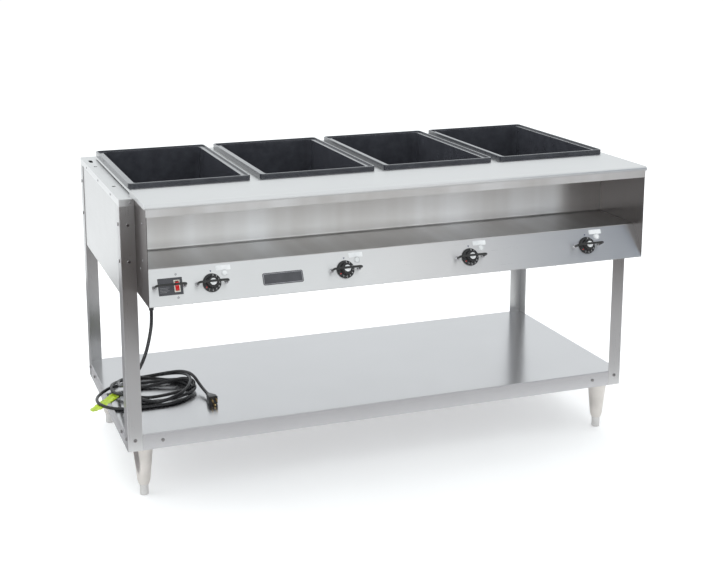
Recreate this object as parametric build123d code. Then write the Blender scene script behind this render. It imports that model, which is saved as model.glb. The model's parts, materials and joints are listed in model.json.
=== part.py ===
from build123d import *

import math
import os

# Electric four-well hot food table: a stainless body on four angle legs, with four sealed wells in its
# top, a plate rest and an open dish shelf along the front, and a sloping control panel with knobs.
#
# Millimetres. +X runs along the table to the right, +Y to the back, +Z up.
# The origin is on the floor, under the middle of the table without its cord.

# ---- the table as a whole
TABLE_L = 1556.0        # over the legs, 61 1/4 in
FRAME_D = 662.0         # over the legs, front to back, 26 in
REST_REACH = 151.5      # how far the plate rest stands in front of the legs
SHEET = 1.6             # 16 gauge stainless
GAP = 0.3               # air left between curved or loose neighbours
FOOT_H = 152.4          # floor to the underside of the legs, 6 in
DECK_H = 713.0          # underside of the legs to the flat of the top deck

# ---- legs, feet and undershelf
LEG_W = 41.0            # flange of the leg angle, 1 5/8 in
FLANGE_H = 20.0         # turned-down edge of the top deck
SHELF_H = 46.5          # depth of the undershelf's turned-down edges
FOOT_IN = 50.0          # leg corner to foot centre, in X and in Y
FOOT_TOP_D = 57.0
FOOT_WAIST_D = 38.0
FOOT_END_D = 31.0
FOOT_BODY_H = 119.0
FOOT_CHAMFER_H = 12.0
FOOT_COLLAR_H = 12.0
INSERT_D = 25.0
INSERT_PAD_H = 5.0
STEM_D = 19.0
STEM_L = 60.0
STEM_CLEAR = 0.05
GUSSET_W = 92.0
GUSSET_T = 3.0
GUSSET_CLIP = 22.0

# ---- top deck and wells
PLATFORM_H = 8.0        # raised field of the deck that the wells stand on
PLATFORM_SIDE = 43.0    # deck end to the raised field
PLATFORM_FRONT = 62.0
PLATFORM_REAR = 12.0
WELL_COUNT = 4
WELL_PITCH = 375.0
RIM_L = 543.0           # well rim, front to back
RIM_W = 346.0
RIM_T = 15.0
RIM_FRONT = 84.0        # front of the legs to the front of the rims
RIM_CORNER_R = 12.0
LIP_W = 5.0
LIP_H = 4.0
PAN_L = 508.0           # opening for a full-size food pan, 12 x 20 in
PAN_W = 304.8
PAN_CORNER_R = 20.0
WELL_WALL = 4.0
WELL_DEPTH = 165.0      # lip to the floor of the well
WELL_DRAFT = 2.0        # degrees
HOLE_CLEAR = 1.5
ELEMENT_ROD_D = 8.0
ELEMENT_RUNS = 6
ELEMENT_PITCH = 38.0
ELEMENT_L = 340.0
ELEMENT_PAN_H = 34.0
ELEMENT_PAN_L = 430.0
ELEMENT_PAN_W = 262.0
STRIP_HOLE_D = 11.0     # holes for an overshelf in each end strip of the deck
STRIP_HOLE_IN = 19.0
STRIP_HOLE_SPACING = 310.0
STRIP_SLOT_L = 40.0
STRIP_SLOT_Y = 575.0    # front of the legs to the slot's middle

# ---- aprons, plate rest, dish shelf and control panel
APRON_BOTTOM = 443.0    # heights from here on are above the underside of the legs
CHEEK_BOTTOM = 455.0
CHEEK_IN = 0.6          # leg's inner edge to the cheek
SHELF_FLOOR = 545.0     # floor of the dish shelf
SHELF_BACK = 84.0       # back panel of the dish shelf, behind the front of the legs
RAIL_BOTTOM = 693.0     # lower edge of the front rail
RAIL_FLANGE = 26.0
REST_TOP = 725.0        # top of the plate rest
REST_OVER = 4.0         # how far the rest stands past the cheeks at each end
REST_BACK = 48.0        # rear edge of the rest, behind the front of the legs
REST_LAP = 1.5          # how far the rest stands in front of the rail
REST_NOSE_R = 9.0
REST_CORNER_R = 5.0
PANEL_RUN = 43.8        # how far the panel's top edge lies behind its bottom edge
PANEL_LIP = 14.0        # return along the panel's lower edge

# ---- controls, measured along the panel from its lower edge
KNOB_UP = 48.5
KNOB_D = 50.0
KNOB_SKIRT_T = 4.0
KNOB_HUB_D = 34.0       # root of the hub
KNOB_TOP_D = 29.0
KNOB_HUB_H = 15.0
KNOB_CAP_D = 18.5
KNOB_CAP_T = 1.5
KNOB_LIFT = 1.5         # underside of the skirt to the panel
SHAFT_D = 6.35
SHAFT_CLEAR = 0.05
THERMO_D = 40.0
THERMO_H = 32.0
GUARD_ROD_D = 6.4
GUARD_SPAN = 80.0
GUARD_OFF = 32.0        # panel face to the guard bar's centre
GUARD_BEND_R = 11.0
LAMP_D = 15.0
LAMP_RIGHT = 37.5
LAMP_UP = 72.5
LAMP_STAND = 3.0
LAMP_BODY_D = 11.0
LAMP_BODY_L = 26.0
LABEL_L = 40.0
LABEL_H = 13.0
LABEL_RIGHT = 35.0
LABEL_UP = 86.5
PLATE_T = 0.6           # thin plates and badges
SWITCH_X = -673.7       # middle of the switch plate
SWITCH_UP = 49.4
SWITCH_PLATE_L = 65.5
SWITCH_PLATE_H = 45.8
BEZEL_DX = 17.5
BEZEL_L = 14.0
BEZEL_H = 30.0
BEZEL_T = 2.2
BEZEL_LIP = 2.0
BEZEL_WALL = 1.5
BEZEL_DEPTH = 24.0
ROCKER_TILT = 9.0       # degrees to each side of the middle
ROCKER_DEPTH = 16.0
ROCKER_PROUD = 1.0
ROCKER_CLEAR = 0.5
ROCKER_PIVOT = 4.0      # panel face down to the pivot
ROCKER_PIN_D = 2.0
SWITCH_GUARD_DX = -2.3
SWITCH_PLATE_R = 1.0
SWITCH_SCREW_RISE = 31.0    # switch's middle to the screws above and below it
BADGE_X = -366.7
BADGE_UP = 43.5
BADGE_L = 113.5
BADGE_H = 33.0
BADGE_CORNER_R = 5.0
LABEL_CORNER_R = 1.5
TERMINAL_L = 60.0
TERMINAL_W = 22.0
TERMINAL_H = 20.0
TERMINAL_PITCH = 20.0
TERMINAL_HOLE_D = 5.0
TERMINAL_HOLE_H = 8.0

# ---- fasteners
BOLT_HEAD_D = 10.0
BOLT_HEAD_T = 2.6
LEG_BOLT_IN = 21.0
LEG_BOLT_Z = (31.0, 540.0, 641.5)
SHELF_BOLT_IN = 98.0
SHELF_BOLT_Z = 23.0
SCREW_HEAD_D = 6.0
SCREW_HEAD_T = 1.6
SCREW_Z = 702.0
APRON_SCREW_PITCH = 205.0
BAND_SCREW_IN = 30.0
CHEEK_SCREWS = ((-96.0, 666.0), (-93.0, 566.0), (-58.0, 536.0))    # from the legs' front and underside
LIP_SCREW_FIRST = 157.0
LIP_SCREW_PITCH = 179.0
LIP_SCREW_COUNT = 8

# ---- cord
CORD_D = 9.5
GLAND_X = -718.0
TERMINAL_X = GLAND_X + 66.0    # terminal block, right of the gland
GLAND_Y_IN = -89.0      # from the front of the legs
GLAND_D = 19.0
GLAND_FLANGE_D = 25.0
GLAND_FLANGE_T = 3.0
GLAND_L = 22.0
GLAND_END_D = 12.5
ARC_SHARE = 0.45        # part of the shorter run that an arc may use
COIL_X = -668.0
COIL_Y = 52.0
COIL_HALF_L = 148.0
COIL_HALF_W = 132.0
COIL_HOLE_L = 60.0
COIL_HOLE_W = 24.0
COIL_H = 30.0
PLUG_FRONT = (-496.5, -100.0)
PLUG_YAW = 3.0          # degrees that the plug is turned, from straight at the front
PLUG_L = 44.0
PLUG_TAPER_L = 30.0
PLUG_W = 27.0
PLUG_H = 25.0
PLUG_REAR_W = 15.0
PLUG_NECK_D = 13.0
PLUG_NECK_L = 14.0
BLADE_L = 17.5
BLADE_H = 6.3
BLADE_T = 1.6
BLADE_SPACING = 12.7
BLADE_RISE = 4.0
GROUND_D = 4.8
GROUND_L = 20.5
GROUND_DROP = 7.9
TAG_X = -796.0
TAG_Y = 16.0
TAG_L = 156.0
TAG_W = 46.0
TAG_T = 0.8
TAG_TURN = 51.0         # degrees
DROP_ROUTE = [
    (-718, -340.2, 580.8),
    (-718, -340, 547),
    (-719, -312, 500),
    (-722, -275, 446),
    (-728, -218, 385),
    (-736, -145, 328),
    (-743, -68, 281),
    (-746, 6, 249),
    (-744, 66, 231),
    (-736, 118, 218),
]
TAIL_ROUTE = [
    (-560, 146, 215),
    (-534, 112, 219),
    (-516, 66, 220),
    (-506, 12, 216),
    (-499.5, -42.1, 211.4),
]

# ---- places worked out from the sizes above
LEG_Z = FOOT_H
DECK_Z = LEG_Z + DECK_H
X_RIGHT = TABLE_L / 2
X_LEFT = -X_RIGHT
LEAN = math.atan2(PANEL_RUN, SHELF_FLOOR - CHEEK_BOTTOM)
NOSE_AHEAD = GUARD_OFF * math.cos(LEAN) + GUARD_ROD_D / 2 - KNOB_UP * math.sin(LEAN)
Y_FRONT = (REST_REACH + NOSE_AHEAD - FRAME_D - BOLT_HEAD_T) / 2    # front of the legs
Y_BACK = Y_FRONT + FRAME_D
Y_NOSE = Y_FRONT - REST_REACH
PLATFORM_Z = DECK_Z + PLATFORM_H
LIP_Z = PLATFORM_Z + RIM_T
LEDGE_Z = LIP_Z - LIP_H
RIM_Y = Y_FRONT + RIM_FRONT + RIM_L / 2
WELL_X = [WELL_PITCH * (i - (WELL_COUNT - 1) / 2) for i in range(WELL_COUNT)]
CHEEK_X = X_RIGHT - LEG_W - CHEEK_IN    # outer face of the right cheek
INSIDE_X = CHEEK_X - SHEET              # inner face of the right cheek
PANEL_LOW = Plane(
    origin=(0, Y_NOSE, LEG_Z + CHEEK_BOTTOM),
    x_dir=(1, 0, 0),
    z_dir=(0, -math.cos(LEAN), math.sin(LEAN)),
)


def block(x0, x1, y0, y1, z0, z1):
    """A box between two corners."""
    middle = ((x0 + x1) / 2, (y0 + y1) / 2, (z0 + z1) / 2)
    return Pos(*middle) * Box(abs(x1 - x0), abs(y1 - y0), abs(z1 - z0))


def slab(x, y, length, width, z0, z1, corner=0.0):
    """An upright prism with rounded corners, about the point x, y."""
    outline = RectangleRounded(length, width, corner) if corner else Rectangle(length, width)
    return Pos(x, y, z0) * extrude(outline, z1 - z0)


def rod(x, y, z0, z1, diameter):
    """An upright cylinder."""
    return Pos(x, y, (z0 + z1) / 2) * Cylinder(diameter / 2, z1 - z0)


def profile_along_x(points, x0, x1):
    """A prism along X whose section is a polygon of (y, z) points."""
    start = Plane(origin=(x0, 0, 0), x_dir=(0, 1, 0), z_dir=(1, 0, 0))
    section = start * make_face(Polyline(*points, close=True))
    return extrude(section, x1 - x0, dir=(1, 0, 0))


def on_panel(x, up, off=0.0):
    """A place on the control panel's face, with +Y up the slope and +Z out of the panel."""
    return Location(PANEL_LOW) * Pos(x, up, off)


def corners():
    """The four legs: a name, the signs of X and Y, and the outer corner."""
    for y_name, sy, y in (("front", -1, Y_FRONT), ("rear", 1, Y_BACK)):
        for x_name, sx, x in (("left", -1, X_LEFT), ("right", 1, X_RIGHT)):
            yield f"{y_name}_{x_name}", sx, sy, x, y


# ---------------------------------------------------------------- frame

def leg(sx, sy, x, y):
    top = DECK_Z - FLANGE_H
    front = block(x, x - sx * LEG_W, y, y - sy * SHEET, LEG_Z, top)
    side = block(x, x - sx * SHEET, y, y - sy * LEG_W, LEG_Z, top)
    bend = front + side
    corner = bend.edges().filter_by(Axis.Z).sort_by(lambda e: abs(e.center().X) + sy * e.center().Y)[-1]
    return fillet(corner, SHEET * 1.5)


def foot_body(x, y):
    """Tapered bullet foot, hollow for the stem of its adjusting insert."""
    top = LEG_Z
    collar = top - FOOT_COLLAR_H
    low = top - FOOT_BODY_H
    waist = low + FOOT_CHAMFER_H
    outline = Polyline(
        (0, top),
        (FOOT_TOP_D / 2, top),
        (FOOT_TOP_D / 2, collar),
        (FOOT_WAIST_D / 2, waist),
        (FOOT_END_D / 2, low),
        (0, low),
        close=True,
    )
    body = Pos(x, y, 0) * revolve(Plane.XZ * make_face(outline), Axis.Z)
    bore_r = STEM_D / 2 + STEM_CLEAR
    return body - Pos(x, y, low + STEM_L / 2) * Cylinder(bore_r, STEM_L + 2 * GAP)


def foot_insert(x, y):
    """Adjusting insert: a smooth foot with a rounded pad, and a stem that runs up into the body."""
    top = LEG_Z - FOOT_BODY_H
    base = rod(x, y, 0, top, INSERT_D)
    base = fillet(base.edges().group_by(Axis.Z)[0], INSERT_PAD_H / 2)
    return base + rod(x, y, top, top + STEM_L - GAP, STEM_D)


def gusset(sx, sy, x, y):
    """Clipped corner plate under the undershelf, that the foot is fixed to."""
    inner_x = x - sx * SHEET
    inner_y = y - sy * SHEET
    plate = block(inner_x, x - sx * GUSSET_W, inner_y, y - sy * GUSSET_W, LEG_Z, LEG_Z + GUSSET_T)
    far = plate.edges().filter_by(Axis.Z).sort_by(lambda e: abs(e.center().X) + sy * e.center().Y)[0]
    return chamfer(far, GUSSET_CLIP)


def undershelf():
    """Flat shelf with four turned-down edges that end at the legs."""
    low = LEG_Z
    top = LEG_Z + SHELF_H
    end = LEG_W + GAP
    sheet = block(X_LEFT + SHEET, X_RIGHT - SHEET, Y_FRONT + SHEET, Y_BACK - SHEET, top - SHEET, top)
    long_edge = block(X_LEFT + end, X_RIGHT - end, Y_FRONT, Y_BACK, low, top)
    end_edge = block(X_LEFT, X_RIGHT, Y_FRONT + end, Y_BACK - end, low, top)
    hollow = block(
        X_LEFT + SHEET, X_RIGHT - SHEET, Y_FRONT + SHEET, Y_BACK - SHEET, low - SHEET, top - SHEET
    )
    folded = (long_edge + end_edge) - hollow
    crests = []
    for edge in folded.edges().group_by(Axis.Z)[-1]:
        at_end = abs(edge.center().X) > X_RIGHT - SHEET / 2
        at_side = not Y_FRONT + SHEET / 2 < edge.center().Y < Y_BACK - SHEET / 2
        if at_end or at_side:
            crests.append(edge)
    return fillet(crests, SHEET) + sheet


# ---------------------------------------------------------------- top deck and wells

def raised_field(z):
    """The solid under the deck's raised field, with its sides at 45 degrees."""
    x0 = X_LEFT + PLATFORM_SIDE
    y0 = Y_FRONT + PLATFORM_FRONT
    y1 = Y_BACK - PLATFORM_REAR
    outline = RectangleRounded(-2 * x0, y1 - y0, RIM_CORNER_R)
    return Pos(0, (y0 + y1) / 2, z) * extrude(outline, PLATFORM_H, taper=45)


def deck_top():
    """Top sheet with a raised field, turned-down edges and four openings for the wells."""
    shell = block(X_LEFT, X_RIGHT, Y_FRONT, Y_BACK, DECK_Z - FLANGE_H, DECK_Z)
    upright = shell.edges().filter_by(Axis.Z)
    shell = fillet(upright, SHEET * 1.5)
    shell = fillet(shell.edges().group_by(Axis.Z)[-1], SHEET)
    low = DECK_Z - FLANGE_H - 1
    high = DECK_Z - SHEET
    inside = block(X_LEFT + SHEET, X_RIGHT - SHEET, Y_FRONT + SHEET, Y_BACK - SHEET, low, high)
    deck = (shell - inside) + raised_field(DECK_Z) - raised_field(DECK_Z - SHEET)
    for x in WELL_X:
        length = PAN_W + 2 * (WELL_WALL + HOLE_CLEAR)
        width = PAN_L + 2 * (WELL_WALL + HOLE_CLEAR)
        deck -= slab(x, RIM_Y, length, width, DECK_Z - FLANGE_H, LIP_Z, PAN_CORNER_R)
    for side in (-1, 1):
        slit = side * (CHEEK_X - SHEET / 2)
        reach = SHEET / 2 + CHEEK_IN
        deck -= block(slit - reach, slit + reach, Y_FRONT - 1, Y_FRONT + SHEET, low, high)
        x = side * (X_RIGHT - STRIP_HOLE_IN)
        middle = Y_FRONT + FRAME_D / 2
        for y in (middle - STRIP_HOLE_SPACING / 2, middle + STRIP_HOLE_SPACING / 2):
            deck -= rod(x, y, DECK_Z - 2 * SHEET, DECK_Z + 1, STRIP_HOLE_D)
        slot = SlotOverall(STRIP_SLOT_L, STRIP_HOLE_D, rotation=90)
        deck -= Pos(x, Y_FRONT + STRIP_SLOT_Y, DECK_Z - 2 * SHEET) * extrude(slot, 3 * SHEET)
    return deck


def well(x):
    """Moulded tub with a rim: a raised outer lip round the ledge that a food pan hangs on."""
    floor = LIP_Z - WELL_DEPTH
    rim = slab(x, RIM_Y, RIM_W, RIM_L, PLATFORM_Z, LIP_Z, RIM_CORNER_R)
    rim = fillet(rim.edges().group_by(Axis.Z)[-1], LIP_W / 3)
    inside_r = RIM_CORNER_R - LIP_W
    lip_inside = slab(x, RIM_Y, RIM_W - 2 * LIP_W, RIM_L - 2 * LIP_W, LEDGE_Z, LIP_Z + 1, inside_r)
    skirt_r = RIM_CORNER_R - WELL_WALL
    skirt_w = RIM_W - 2 * WELL_WALL
    skirt_l = RIM_L - 2 * WELL_WALL
    skirt = slab(x, RIM_Y, skirt_w, skirt_l, PLATFORM_Z, LEDGE_Z - WELL_WALL, skirt_r)
    outer = RectangleRounded(PAN_W + 2 * WELL_WALL, PAN_L + 2 * WELL_WALL, PAN_CORNER_R)
    inner = RectangleRounded(PAN_W, PAN_L, PAN_CORNER_R - WELL_WALL)
    place = Pos(x, RIM_Y, LEDGE_Z)
    tub = place * extrude(outer, LEDGE_Z - floor + WELL_WALL, dir=(0, 0, -1), taper=WELL_DRAFT)
    tub = fillet(tub.edges().group_by(Axis.Z)[0], PAN_CORNER_R / 2)
    hollow = place * extrude(inner, LEDGE_Z - floor, dir=(0, 0, -1), taper=WELL_DRAFT)
    hollow = fillet(hollow.edges().group_by(Axis.Z)[0], PAN_CORNER_R / 2 - 1)
    mouth = slab(x, RIM_Y, PAN_W, PAN_L, LEDGE_Z - 1, LIP_Z + 1, PAN_CORNER_R - WELL_WALL)
    return rim - skirt - lip_inside + tub - hollow - mouth


def heating_element(x):
    """Serpentine sheathed rod clamped under the floor of a well."""
    z = LIP_Z - WELL_DEPTH - WELL_WALL - ELEMENT_ROD_D / 2 - GAP
    half = ELEMENT_L / 2
    path_points = []
    for i in range(ELEMENT_RUNS):
        run_x = x + ELEMENT_PITCH * (i - (ELEMENT_RUNS - 1) / 2)
        ends = (-half, half) if i % 2 == 0 else (half, -half)
        path_points += [(run_x, RIM_Y + ends[0], z), (run_x, RIM_Y + ends[1], z)]
    path = FilletPolyline(*path_points, radius=ELEMENT_PITCH / 2 - 1)
    section = Plane(origin=path @ 0, z_dir=path % 0) * Circle(ELEMENT_ROD_D / 2)
    return sweep(section, path)


def element_pan(x):
    """Sheet pan that holds the element and its insulation up against the well."""
    top = LIP_Z - WELL_DEPTH - WELL_WALL
    low = top - ELEMENT_PAN_H
    pan = slab(x, RIM_Y, ELEMENT_PAN_W, ELEMENT_PAN_L, low, top, PAN_CORNER_R)
    wall = 2 * SHEET
    inside = PAN_CORNER_R - SHEET
    return pan - slab(x, RIM_Y, ELEMENT_PAN_W - wall, ELEMENT_PAN_L - wall, low + SHEET, top + 1, inside)


# ---------------------------------------------------------------- body panels

def apron(side):
    x = side * (X_RIGHT - SHEET)
    return block(x, x - side * SHEET, Y_FRONT + SHEET, Y_BACK - SHEET, LEG_Z + APRON_BOTTOM, DECK_Z - SHEET)


def rear_panel():
    x = X_RIGHT - 2 * SHEET
    return block(-x, x, Y_BACK - 2 * SHEET, Y_BACK - SHEET, LEG_Z + APRON_BOTTOM, DECK_Z - SHEET)


def bottom_pan():
    """Closes the heated body from below, behind the dish shelf."""
    x = X_RIGHT - 2 * SHEET
    y0 = Y_FRONT + SHELF_BACK + SHEET
    y1 = Y_BACK - 2 * SHEET
    low = LEG_Z + APRON_BOTTOM
    pan = block(-x, x, y0, y1, low, low + PANEL_LIP)
    return pan - block(-x + SHEET, x - SHEET, y0 + SHEET, y1 - SHEET, low + SHEET, low + PANEL_LIP + 1)


def cheek(side):
    """End wall of the dish shelf and the control box."""
    outline = [
        (Y_NOSE + SHEET, LEG_Z + CHEEK_BOTTOM - SHEET),
        (Y_FRONT + SHELF_BACK + SHEET, LEG_Z + CHEEK_BOTTOM - SHEET),
        (Y_FRONT + SHELF_BACK + SHEET, DECK_Z - SHEET),
        (Y_FRONT, DECK_Z - SHEET),
        (Y_FRONT, DECK_Z),
        (Y_NOSE + SHEET, DECK_Z),
    ]
    x = side * CHEEK_X
    return profile_along_x(outline, min(x, x - side * SHEET), max(x, x - side * SHEET))


def dish_shelf():
    """Floor and back of the open dish shelf, bent from one sheet."""
    floor = LEG_Z + SHELF_FLOOR
    front = Y_NOSE + PANEL_RUN
    back = Y_FRONT + SHELF_BACK
    bend_r = 4 * SHEET
    outline = [
        (front, floor - SHEET),
        (back + SHEET, floor - SHEET),
        (back + SHEET, DECK_Z - SHEET),
        (back, DECK_Z - SHEET),
        (back, floor),
        (front, floor),
    ]
    sheet = profile_along_x(outline, -INSIDE_X, INSIDE_X)
    crease = sheet.edges().filter_by(Axis.X).sort_by(lambda e: (e.center() - Vector(0, back, floor)).length)
    sheet = fillet(crease[0], bend_r)
    outside = Vector(0, back + SHEET, floor - SHEET)
    bend = sheet.edges().filter_by(Axis.X).sort_by(lambda e: (e.center() - outside).length)
    return fillet(bend[0], bend_r + SHEET)


def control_panel():
    """Sloping front of the control box with a return along its lower edge, and holes for the controls."""
    low = LEG_Z + CHEEK_BOTTOM
    top = LEG_Z + SHELF_FLOOR - SHEET
    slope_t = SHEET / math.cos(LEAN)
    run = math.tan(LEAN) * (top - low)
    lip_run = math.tan(LEAN) * SHEET
    outline = [
        (Y_NOSE, low),
        (Y_NOSE + run, top),
        (Y_NOSE + run + slope_t, top),
        (Y_NOSE + slope_t + lip_run, low + SHEET),
        (Y_NOSE + PANEL_LIP, low + SHEET),
        (Y_NOSE + PANEL_LIP, low),
    ]
    panel = profile_along_x(outline, -INSIDE_X, INSIDE_X)
    for x in WELL_X:
        panel -= on_panel(x, KNOB_UP) * Cylinder(SHAFT_D / 2 + 1, 4 * SHEET)
        panel -= on_panel(x + LAMP_RIGHT, LAMP_UP) * Cylinder(LAMP_BODY_D / 2, 4 * SHEET)
    hole = on_panel(SWITCH_X + BEZEL_DX, SWITCH_UP)
    return panel - hole * Box(BEZEL_L, BEZEL_H, 4 * SHEET)


def control_box_pan():
    """Bottom and rear of the control box."""
    low = LEG_Z + CHEEK_BOTTOM - SHEET
    back = Y_FRONT + SHELF_BACK + SHEET
    x = INSIDE_X
    sheet = block(-x, x, Y_NOSE + SHEET, back, low, low + SHEET)
    wall = block(-x, x, back - SHEET, back, low, LEG_Z + SHELF_FLOOR - 6 * SHEET)
    return sheet + wall - rod(GLAND_X, Y_FRONT + GLAND_Y_IN, low - 1, low + SHEET + 1, GLAND_D)


def front_rail():
    """Channel along the front, under the plate rest: it spans the dish shelf's opening."""
    low = LEG_Z + RAIL_BOTTOM
    back = Y_NOSE + RAIL_FLANGE
    outline = [
        (Y_NOSE, low),
        (back, low),
        (back, low + SHEET),
        (Y_NOSE + SHEET, low + SHEET),
        (Y_NOSE + SHEET, DECK_Z - SHEET),
        (back, DECK_Z - SHEET),
        (back, DECK_Z),
        (Y_NOSE, DECK_Z),
    ]
    rail = profile_along_x(outline, -INSIDE_X, INSIDE_X)
    cover = block(-CHEEK_X, CHEEK_X, Y_NOSE, Y_NOSE + SHEET, low, DECK_Z)
    return rail + cover


def rest_block(inset):
    """The plate rest's outer form, or its hollow when inset by the sheet's thickness."""
    x = CHEEK_X + REST_OVER - inset
    y0 = Y_NOSE - REST_LAP + inset
    y1 = Y_FRONT + REST_BACK - inset
    body = block(-x, x, y0, y1, DECK_Z - inset, LEG_Z + REST_TOP - inset)
    rear = body.edges().filter_by(Axis.Z).group_by(Axis.Y)[-1]
    body = fillet(rear, REST_CORNER_R - inset)
    nose = body.edges().filter_by(Axis.X).filter_by(lambda e: e.center().Y < y0 + 1).sort_by(Axis.Z)[-1]
    return fillet(nose, REST_NOSE_R - inset)


def plate_rest():
    """Shallow upturned tray with a rounded front edge, laid over the rail, the cheeks and the deck."""
    return rest_block(0) - rest_block(SHEET)


# ---------------------------------------------------------------- controls

def knob(x):
    """Skirted dial with a tapered hub, a thin round cap on the hub and the shaft that it turns."""
    skirt = Pos(0, 0, KNOB_SKIRT_T / 2) * Cylinder(KNOB_D / 2, KNOB_SKIRT_T)
    skirt = fillet(skirt.edges().group_by(Axis.Z)[-1], KNOB_SKIRT_T / 2)
    hub = Pos(0, 0, KNOB_SKIRT_T + KNOB_HUB_H / 2) * Cone(KNOB_HUB_D / 2, KNOB_TOP_D / 2, KNOB_HUB_H)
    hub = fillet(hub.edges().group_by(Axis.Z)[-1], 2)
    cap = Pos(0, 0, KNOB_SKIRT_T + KNOB_HUB_H + KNOB_CAP_T / 2) * Cylinder(KNOB_CAP_D / 2, KNOB_CAP_T)
    cap = fillet(cap.edges().group_by(Axis.Z)[-1], KNOB_CAP_T / 2)
    reach = THERMO_H / 2 + KNOB_LIFT
    shaft = Pos(0, 0, -reach / 2) * Cylinder(SHAFT_D / 2, reach)
    return on_panel(x, KNOB_UP, KNOB_LIFT) * (skirt + hub + cap + shaft)


def thermostat(x):
    """Thermostat body behind the panel, with the bore that the knob's shaft turns in."""
    case = Pos(0, 0, -THERMO_H / 2) * Box(THERMO_D, THERMO_D, THERMO_H)
    case = fillet(case.edges().filter_by(Axis.Z), 4)
    bore = Cylinder(SHAFT_D / 2 + SHAFT_CLEAR, THERMO_H + 4)
    terminals = [Pos(dx, 0, -THERMO_H - 4) * Box(1, 6, 8) for dx in (-12, 12)]
    return on_panel(x, KNOB_UP, -SHEET) * (case - bore + terminals)


def guard(x, up):
    """Bent rod that stands over a control, with its two feet welded to the panel."""
    half = GUARD_SPAN / 2
    feet = [(-half, 0, 0), (-half, 0, GUARD_OFF), (half, 0, GUARD_OFF), (half, 0, 0)]
    path = FilletPolyline(*feet, radius=GUARD_BEND_R)
    section = Plane(origin=path @ 0, z_dir=path % 0) * Circle(GUARD_ROD_D / 2)
    return on_panel(x, up) * sweep(section, path)


def pilot_lamp(x):
    """Domed lens with its barrel through the panel."""
    lens = Pos(0, 0, LAMP_STAND / 2) * Cylinder(LAMP_D / 2, LAMP_STAND)
    lens = fillet(lens.edges().group_by(Axis.Z)[-1], LAMP_STAND * 0.8)
    barrel = Pos(0, 0, -LAMP_BODY_L / 2) * Cylinder(LAMP_BODY_D / 2 - GAP, LAMP_BODY_L)
    return on_panel(x + LAMP_RIGHT, LAMP_UP) * (lens + barrel)


def plate(x, up, length, height, corner):
    return on_panel(x, up) * extrude(RectangleRounded(length, height, corner), PLATE_T)


def switch_plate():
    hole = Box(BEZEL_L + BEZEL_LIP, BEZEL_H + BEZEL_LIP, 4 * PLATE_T)
    whole = plate(SWITCH_X, SWITCH_UP, SWITCH_PLATE_L, SWITCH_PLATE_H, SWITCH_PLATE_R)
    return whole - on_panel(SWITCH_X + BEZEL_DX, SWITCH_UP) * hole


def switch_bezel():
    """Frame of the power switch, with its case behind the panel."""
    outer = Pos(0, 0, BEZEL_T / 2) * Box(BEZEL_L + BEZEL_LIP, BEZEL_H + BEZEL_LIP, BEZEL_T)
    outer = fillet(outer.edges().group_by(Axis.Z)[-1], 0.8)
    case = Pos(0, 0, -BEZEL_DEPTH / 2) * Box(BEZEL_L - 2 * GAP, BEZEL_H - 2 * GAP, BEZEL_DEPTH)
    window = Box(BEZEL_L - 2 * BEZEL_WALL, BEZEL_H - 2 * BEZEL_WALL, 2 * BEZEL_DEPTH - 4)
    pin_hole = Cylinder(ROCKER_PIN_D / 2 + SHAFT_CLEAR, 2 * BEZEL_L)
    pin_hole = Pos(0, 0, -ROCKER_PIVOT) * Rot(0, 90, 0) * pin_hole
    return on_panel(SWITCH_X + BEZEL_DX, SWITCH_UP) * (outer + case - window - pin_hole)


def switch_rocker():
    """Two-sided rocker that tilts on a crosswise pin; it is stored tilted one way."""
    width = BEZEL_L - 2 * (BEZEL_WALL + ROCKER_CLEAR)
    half = BEZEL_H / 2 - BEZEL_WALL - 4 * ROCKER_CLEAR
    rise = half * math.tan(math.radians(ROCKER_TILT))
    face = BEZEL_T + ROCKER_PROUD + ROCKER_PIVOT
    outline = Polyline(
        (-half, face + rise),
        (0, face),
        (half, face + rise),
        (half * 0.55, face - ROCKER_DEPTH),
        (-half * 0.55, face - ROCKER_DEPTH),
        close=True,
    )
    section = Plane(origin=(-width / 2, 0, 0), x_dir=(0, 1, 0), z_dir=(1, 0, 0)) * make_face(outline)
    shape = extrude(section, width, dir=(1, 0, 0))
    shape += Rot(0, 90, 0) * Cylinder(ROCKER_PIN_D / 2, BEZEL_L - 2 * GAP)
    return on_panel(SWITCH_X + BEZEL_DX, SWITCH_UP, -ROCKER_PIVOT) * Rot(ROCKER_TILT, 0, 0) * shape


def terminal_block():
    """Terminal block on the control box's floor, where the cord's wires end."""
    low = LEG_Z + CHEEK_BOTTOM
    y = Y_FRONT + GLAND_Y_IN
    half_l = TERMINAL_L / 2
    half_w = TERMINAL_W / 2
    body = block(TERMINAL_X - half_l, TERMINAL_X + half_l, y - half_w, y + half_w, low, low + TERMINAL_H)
    for step in (-1, 0, 1):
        x = TERMINAL_X + step * TERMINAL_PITCH
        body -= rod(x, y, low + TERMINAL_H - TERMINAL_HOLE_H, low + TERMINAL_H + 1, TERMINAL_HOLE_D)
    return body


# ---------------------------------------------------------------- fasteners

def bolt(face, head_d=BOLT_HEAD_D, head_t=BOLT_HEAD_T):
    """The low domed head of a bolt or screw, standing on a face."""
    head = Pos(0, 0, head_t / 2) * Cylinder(head_d / 2, head_t)
    head = fillet(head.edges().group_by(Axis.Z)[-1], head_t * 0.7)
    return face * head


def faces_out(x, y, z, direction):
    """A place on a vertical face that looks along direction."""
    return Location(Plane(origin=(x, y, z), z_dir=direction))


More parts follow.
